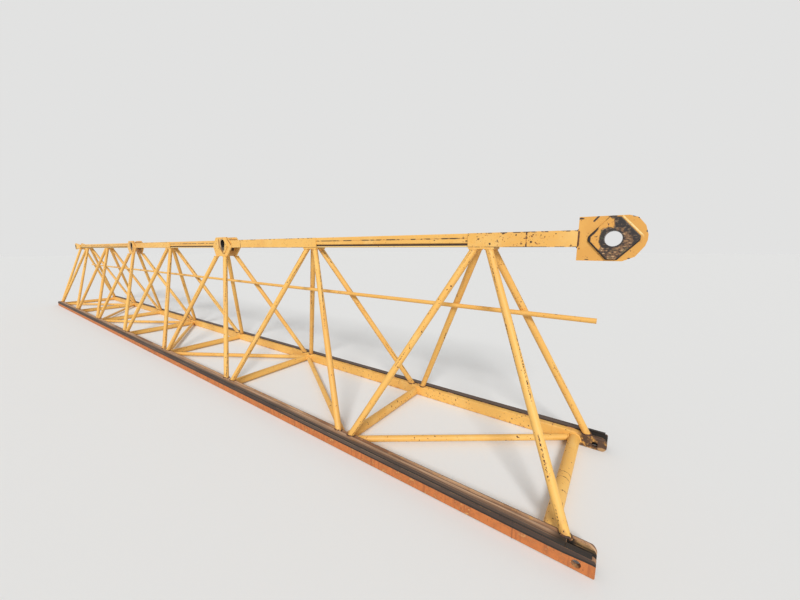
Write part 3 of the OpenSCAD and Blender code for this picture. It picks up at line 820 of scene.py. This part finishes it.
# radius, ripple and spacing of the beads in each piece
beads = {
    "tubeTopWelds": (0.0042, 0.22, 0.0058),
    "tubeFootWelds": (0.0050, 0.22, 0.0058),
    "floorWelds": (0.0046, 0.22, 0.0060),
    "chordWelds": (0.0040, 0.20, 0.0056),
    "lugWelds": (0.0055, 0.18, 0.0075),
    "padRimWelds": (0.0040, 0.20, 0.0056),
    "tiePadWelds": (0.0036, 0.20, 0.0056),
    "tiePadShadowWelds": (0.0050, 0.20, 0.0056),
    "tieLugWelds": (0.0044, 0.20, 0.0056),
    "stripWelds": (0.0032, 0.22, 0.0062),
    "railJointWelds": (0.0022, 0.20, 0.0060),
    "guideWelds": (0.0048, 0.20, 0.0060),
}
clearOfBox = 0.0003      # no bead stands outside the frame's box: it is flattened just inside


def sideways(ahead, helper):
    # two unit directions across a path
    n1 = np.cross(ahead, helper)
    n1 /= np.linalg.norm(n1, axis=-1, keepdims=True)
    return n1, np.cross(ahead, n1)


def beadMesh(name, paths, closed, finish):
    # weld beads: a circle carried along each path,
    # point = path(t) + r(t) * (cos(a) * n1(t) + sin(a) * n2(t)),
    # with r(t) = radius * taper(t) * (1 + ripple * |sin(pi * length(t) / spacing)|)
    radius, ripple, spacing = beads[name]
    count = 8
    angles = np.linspace(0, 2 * np.pi, count, endpoint=False)
    low, high = np.array(cadBox[0]) + clearOfBox, np.array(cadBox[1]) - clearOfBox
    allPoints, allFaces, start = [], [], 0
    for path in paths:
        path = np.asarray(path, float)
        if closed:
            ahead = np.roll(path, -1, 0) - np.roll(path, 1, 0)
        else:
            ahead = np.gradient(path, axis=0)
        ahead /= np.linalg.norm(ahead, axis=1, keepdims=True)
        helper = np.tile([0.31, 0.17, 0.93], (len(path), 1))
        flat = np.abs((ahead * helper).sum(1)) > 0.9
        helper[flat] = [0.93, -0.31, 0.17]
        n1, n2 = sideways(ahead, helper)
        steps = np.linalg.norm(np.diff(path, axis=0), axis=1)
        length = np.concatenate([[0], np.cumsum(steps)])
        r = radius * (1 + ripple * np.abs(np.sin(np.pi * length / spacing)))
        if not closed:
            ends = np.clip(np.minimum(length, length[-1] - length) / (1.6 * radius), 0, 1)
            r = r * np.sqrt(1 - (1 - ends) ** 2)
        ring = np.cos(angles)[None, :, None] * n1[:, None] + np.sin(angles)[None, :, None] * n2[:, None]
        points = np.clip(path[:, None] + r[:, None, None] * ring, low, high)
        rows = len(path)
        i = np.arange(rows if closed else rows - 1)[:, None]
        j = np.arange(count)[None, :]
        nextRow, nextColumn = (i + 1) % rows, (j + 1) % count
        faces = np.stack([i * count + j + 0 * nextColumn, nextRow * count + j,
                          nextRow * count + nextColumn, i * count + nextColumn], -1).reshape(-1, 4)
        allPoints.append(points.reshape(-1, 3))
        allFaces.append(faces + start)
        start += rows * count
    surface(name, np.concatenate(allPoints), np.concatenate(allFaces), finish)


def surface(name, points, faces, finish):
    data = bpy.data.meshes.new(name)
    data.from_pydata(points.tolist(), [], faces.tolist())
    data.validate()
    data.polygons.foreach_set("use_smooth", [True] * len(data.polygons))
    # rows that close to a point are merged, then the faces are turned outwards
    bm = bmesh.new()
    bm.from_mesh(data)
    bmesh.ops.remove_doubles(bm, verts=bm.verts, dist=1e-5)
    bmesh.ops.dissolve_degenerate(bm, edges=bm.edges, dist=1e-6)
    bmesh.ops.recalc_face_normals(bm, faces=bm.faces)
    bm.to_mesh(data)
    bm.free()
    data.materials.append(finish)
    piece = bpy.data.objects.new(name, data)
    bpy.context.scene.collection.objects.link(piece)
    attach(piece, "root")


def tubeEnd(point, axis, radius, planes, count=44):
    # the line on which a round tube meets one or more planes: for each angle round the tube the
    # axial place is the first plane that is reached, s = min((offset - n . p(angle)) / (n . axis))
    point, axis = np.asarray(point, float), np.asarray(axis, float)
    axis = axis / np.linalg.norm(axis)
    helper = np.array([0.0, 0.0, 1.0]) if abs(axis[2]) < 0.8 else np.array([0.0, 1.0, 0.0])
    n1, n2 = sideways(axis, helper)
    a = np.linspace(0, 2 * np.pi, count, endpoint=False)
    rim = point + radius * (np.cos(a)[:, None] * n1 + np.sin(a)[:, None] * n2)
    reach = np.min([(offset - rim @ np.asarray(n, float)) / (axis @ np.asarray(n, float))
                    for n, offset in planes], axis=0)
    return rim + reach[:, None] * axis


def sideTube(side, lowDistance, highDistance):
    # foot point and direction of a side tube, as the frame has them
    foot = np.array([alongJib(lowDistance), side * jib["gauge"] / 2, -jib["drop"]])
    top = np.array([alongJib(highDistance), 0.0, jib["height"] - jib["drop"]])
    return foot, top - foot


def underside(k):
    return jib["tieLow"] if k in jib["ties"] else jib["chordLow"] - 0.012


weldFinish = weldPaint("weldPaint")
darkFinish = darkWeld("darkWeld")

tubes = []      # side, foot, direction, high cut
for side in (-1, 1):
    for k in range(jib["bays"]):
        tubes.append((side, *sideTube(side, nodeDistance(k + 1), apexDistance(k)), underside(k)))
        tubes.append((side, *sideTube(side, nodeDistance(k), apexDistance(k)), underside(k)))
    tubes.append((side, *sideTube(side, jib["postFoot"], jib["postTop"]), underside(0)))

topRings, footRings = [], []
for side, foot, run, high in tubes:
    topRings.append(tubeEnd(foot, run, jib["tube"] / 2 + 0.001, [((0, 0, 1), high - 0.002)]))
    # the lower ring steps up where the tube is notched over the running strip
    lip, strip = (tubeEnd(foot, run, jib["tube"] / 2 + 0.0012, [((0, 0, 1), top + 0.0012)], 64)
                  for top in (jib["railTop"], jib["stripTop"]))
    over = np.abs(strip[:, 1]) > jib["stripInner"]
    footRings.append(np.where(over[:, None], strip, lip))
beadMesh("tubeTopWelds", topRings, True, weldFinish)
beadMesh("tubeFootWelds", footRings, True, darkFinish)


def straight(a, b, stride=0.0019):
    a, b = np.asarray(a, float), np.asarray(b, float)
    count = max(8, int(np.linalg.norm(b - a) / stride))
    return a + np.linspace(0, 1, count)[:, None] * (b - a)


def outline(corners, stride=0.0022):
    # points every stride along a closed outline of straight edges
    corners = np.asarray(corners, float)
    parts = []
    for a, b in zip(corners, np.roll(corners, -1, 0)):
        count = max(2, int(np.linalg.norm(b - a) / stride))
        parts.append(a + np.linspace(0, 1, count, endpoint=False)[:, None] * (b - a))
    return np.concatenate(parts)


# crossbars on the rails' inner faces
floor = {"y": 0.5045, "axis": 0.044, "bar": 0.076, "endBar": 0.080, "endPlace": 0.297, "diagonal": 0.048,
         "offset": 0.034}
barWelds = []
for k in range(jib["bays"] + 1):
    place = floor["endPlace"] if k == 0 else k * jib["bay"]
    radius = (floor["endBar"] if k == 0 else floor["bar"]) / 2
    for side in (-1, 1):
        barWelds.append(tubeEnd((alongJib(place), 0, floor["axis"]), (0, side, 0), radius + 0.0008,
                                [((0, side, 0), floor["y"] - 0.0008)], 60))
for k in range(jib["bays"]):
    rootSide = 1 if k % 2 == 0 else -1
    bar = floor["endPlace"] if k == 0 else k * jib["bay"]
    rootCut = alongJib(bar + (floor["endBar"] if k == 0 else floor["bar"]) / 2) - 0.001
    outerCut = -alongJib(nodeDistance(k + 1) - floor["bar"] / 2) - 0.001
    sideCut = floor["y"] - 0.001
    d1, d2 = bar + floor["offset"], nodeDistance(k + 1) - floor["offset"]
    rootPoint = np.array([alongJib(d1), rootSide * floor["y"], floor["axis"]])
    outerPoint = np.array([alongJib(d2), -rootSide * floor["y"], floor["axis"]])
    outward = outerPoint - rootPoint
    r = floor["diagonal"] / 2 + 0.0008
    rootPlanes = [((1, 0, 0), rootCut), ((0, rootSide, 0), sideCut)]
    outerPlanes = [((-1, 0, 0), outerCut), ((0, -rootSide, 0), sideCut)]
    barWelds += [tubeEnd(rootPoint, -outward, r, rootPlanes), tubeEnd(outerPoint, outward, r, outerPlanes)]
beadMesh("floorWelds", barWelds, True, weldFinish)

# the top chord: beads along its side plates and apex plates, and at the lug
chord = {"rootEnd": 0.336, "overlap": 0.098, "tieHalf": 0.233, "topY": 0.0490, "endY": 0.0515,
         "lowY": 0.0480}
seams = []
plateSpans = [(chord["rootEnd"], jib["apex"] + chord["overlap"])]
for k in jib["ties"]:
    plateSpans.append((apexDistance(k - 1) - chord["overlap"],
                       apexDistance(k) - jib["tieShift"] - chord["tieHalf"]))
for d1, d2 in plateSpans:
    for side in (-1, 1):
        y, z = side * chord["topY"], jib["chordTop"] - 0.0032
        seams.append(straight((alongJib(d1 + 0.004), y, z), (alongJib(d2 - 0.004), y, z), 0.0024))
        x, y = alongJib(d2 + 0.001), side * chord["endY"]
        seams.append(straight((x, y, jib["chordTop"] - 0.004), (x, y, jib["chordLow"] + 0.034)))
for k in range(jib["bays"] + 1):
    if k in jib["ties"]:
        continue
    if k < jib["bays"]:
        first, last = apexDistance(k) - (0.083 if k == 0 else 0.096), apexDistance(k) + 0.093
    else:
        first, last = jib["postTop"] - 0.047, jib["postTop"] + 0.047
    for side in (-1, 1):
        y, z = side * chord["lowY"], jib["chordLow"] + 0.0005
        seams.append(straight((alongJib(first), y, z), (alongJib(last), y, z)))
beadMesh("chordWelds", seams, False, weldFinish)

lug = {"pad": 0.230, "padHeight": 0.221, "cut": 0.025, "flat": 0.010, "half": 0.036}
# dark beads: the upright ones also paint the shade line where the side plates end at the lug
heavy = []
for side in (-1, 1):
    x, y = alongJib(chord["rootEnd"]) + 0.002, side * (lug["half"] + 0.0015)
    heavy.append(straight((x, y, jib["chordLow"] + 0.002), (x, y, jib["chordTop"] - 0.002)))
    x = alongJib(chord["rootEnd"]) - 0.001
    for z in (jib["chordTop"] + 0.001, jib["chordLow"] - 0.001):
        heavy.append(straight((x, side * lug["half"], z), (x, side * -0.002, z)))
beadMesh("lugWelds", heavy, False, darkFinish)

rims = []
a, b, c, f = lug["pad"] / 2, lug["padHeight"] / 2, lug["cut"], lug["flat"]
diamond = [(-a, -f), (-c, -b), (c, -b), (a, -f), (a, f), (c, b), (-c, b), (-a, f)]
for side in (-1, 1):
    rims.append(outline([(jib["lugBore"][0] + px, side * (lug["half"] + 0.0008), jib["lugBore"][1] + pz)
                         for px, pz in diamond]))
beadMesh("padRimWelds", rims, True, bpy.data.materials["padWear"])

tie = {"crown": 0.280, "width": 0.466, "rise": 0.040, "shoulder": 0.092, "face": 0.050, "thickness": 0.015,
       "pad": 0.214, "padTop": 0.060, "padLow": 0.124, "tip": 0.020, "sleeve": 0.078}
edges, shields, shadowSideShields = [], [], []
for k in jib["ties"]:
    cx = alongJib(apexDistance(k) - jib["tieShift"])
    bore = alongJib(apexDistance(k) - jib["tieBore"])
    a, b, tip = tie["pad"] / 2, tie["padLow"], tie["tip"]
    shield = [(-a, tie["padTop"]), (-a, -b / 3), (-tip, -b), (tip, -b), (a, -b / 3), (a, tie["padTop"])]
    for side in (-1, 1):
        y = side * (tie["face"] + tie["thickness"] + 0.0006)
        rim = [(bore + px, y, jib["tieBoreZ"] + pz) for px, pz in shield]
        # dark beads on the left and lower edges paint the shade on that side of the pad
        shadowSideShields.append(np.concatenate([straight(rim[i], rim[i + 1], 0.0022) for i in range(3)]))
        shields.append(np.concatenate([straight(rim[i], rim[(i + 1) % 6], 0.0022) for i in range(3, 6)]))
        # outer edge of the lug on the bare chord, and the seams on the chord's top
        slant = (tie["width"] - tie["crown"]) / 2
        up = tie["shoulder"] - tie["rise"]
        xAtTop = tie["width"] / 2 - slant * up / tie["shoulder"]
        y, xEdge, corner = side * (tie["face"] + 0.0012), cx - tie["width"] / 2, jib["chordTop"] - up
        edges.append(np.concatenate([
            straight((cx - xAtTop, y, jib["chordTop"] - 0.004), (xEdge, y, corner), 0.0022),
            straight((xEdge - 0.0003, y, corner - 0.002), (xEdge - 0.0003, y, corner - 0.009), 0.0022)]))
        y, z = side * chord["lowY"], jib["chordTop"] - 0.0015
        for x0, x1 in ((cx - xAtTop, bore - tie["sleeve"]), (bore + tie["sleeve"], cx + xAtTop)):
            edges.append(straight((x0, y, z), (x1, y, z), 0.0024))
beadMesh("tiePadWelds", shields, False, weldFinish)
beadMesh("tiePadShadowWelds", shadowSideShields, False, darkFinish)
beadMesh("tieLugWelds", edges, False, weldFinish)

# short stitch welds that hold the running strips, on both long edges
stitch = {"first": 0.300, "count": 34, "length": 0.060, "pitch": 0.352, "stagger": 0.17,
          "stripHalf": 0.029}
stitches = []
stripMiddle = jib["railY"] + jib["railHalf"] - 0.003 - stitch["stripHalf"]
for side in (-1, 1):
    for edge in (-1, 1):
        y = side * (stripMiddle + edge * stitch["stripHalf"])
        z = jib["railTop"] + 0.001 if edge < 0 else jib["railTop"] - 0.0004
        for n in range(stitch["count"]):
            d = stitch["first"] + n * stitch["pitch"] + (0.0 if edge < 0 else stitch["stagger"])
            stitches.append(straight((alongJib(d), y, z), (alongJib(d + stitch["length"]), y, z), 0.0030))
beadMesh("stripWelds", stitches, False, bpy.data.materials["forkPaint"])

# the joint between each rail and its fork piece
joints = []
for side in (-1, 1):
    w, h, r0 = jib["railHalf"], jib["railTop"], 0.010
    ring = []
    for cy, cz, start in ((w - r0, r0, -90), (w - r0, h - r0, 0),
                          (-w + r0, h - r0, 90), (-w + r0, r0, 180)):
        a = np.radians(np.linspace(start, start + 90, 8))
        ring.append(np.stack([cy + r0 * np.cos(a), cz + r0 * np.sin(a)], 1))
    corners = np.concatenate(ring)
    x = alongJib(railWear["joint"] + 0.003)
    path = outline([(x, side * jib["railY"] + y, z) for y, z in corners], 0.0026)
    path[:, 2] = np.maximum(path[:, 2], 0.0026)
    joints.append(path)
beadMesh("railJointWelds", joints, True, bpy.data.materials["railPaint"])

# small beads above and below the guide tube where it touches the far side tubes
guide = {"height": 1.065, "tube": 0.034, "bead": 0.030}
touches = []
for side, foot, run, high in tubes:
    if side < 0:
        continue
    x, y = (foot + run * (guide["height"] - foot[2]) / run[2])[:2]
    if not alongJib(12.20) < x < alongJib(0.23):
        continue
    y -= jib["tube"] / 2 / math.cos(leanAngle)
    for lift in (-1, 1):
        z = guide["height"] + lift * 0.0125
        yBead = y - leanSlope * (z - guide["height"]) - 0.0015
        touches.append(straight((x - guide["bead"] / 2, yBead, z), (x + guide["bead"] / 2, yBead, z)))
beadMesh("guideWelds", touches, False, weldFinish)
print("weld beads done")

studio = {
    "floorColour": (0.83, 0.83, 0.82),
    "floorHalf": 90.0,
    "skyColour": (0.76, 0.76, 0.755),
    "ambient": 0.48,
    "key": 2.4,
    "keyDirection": (-0.448, 0.695, -0.563),
    "keySoftness": 16.0,
}


def makeFloor(settings):
    half = settings["floorHalf"]
    data = bpy.data.meshes.new("paleFloor")
    corners = [(-half, -half, 0), (half, -half, 0), (half, half, 0), (-half, half, 0)]
    data.from_pydata(corners, [], [(0, 1, 2, 3)])
    finish = bpy.data.materials.new("paleFloor")
    finish.use_nodes = True
    shader = finish.node_tree.nodes["Principled BSDF"]
    shader.inputs["Base Color"].default_value = (*settings["floorColour"], 1)
    shader.inputs["Roughness"].default_value = 0.9
    data.materials.append(finish)
    floorPiece = bpy.data.objects.new("paleFloor", data)
    bpy.context.scene.collection.objects.link(floorPiece)
    floorPiece.location.z = -0.0006


def makeLight(settings):
    lamp = bpy.data.lights.new("softKey", "SUN")
    lamp.energy = settings["key"]
    lamp.angle = math.radians(settings["keySoftness"])
    key = bpy.data.objects.new("softKey", lamp)
    key.rotation_euler = Vector(settings["keyDirection"]).to_track_quat("-Z", "Y").to_euler()
    bpy.context.scene.collection.objects.link(key)
    world = bpy.data.worlds.new("studio")
    bpy.context.scene.world = world
    world.use_nodes = True
    tree = world.node_tree
    background = tree.nodes["Background"]
    rays = tree.nodes.new("ShaderNodeLightPath")
    seen = Wire(tree, rays.outputs["Is Camera Ray"])
    seen = either(seen, Wire(tree, rays.outputs["Is Glossy Ray"]))
    seen = either(seen, Wire(tree, rays.outputs["Is Transmission Ray"]))
    ambient = settings["ambient"]
    colour = mixColour(seen, (ambient, ambient, ambient), settings["skyColour"])
    tree.links.new(colour.socket, background.inputs["Color"])
    background.inputs["Strength"].default_value = 1.0


makeFloor(studio)
makeLight(studio)
print("floor and light done")
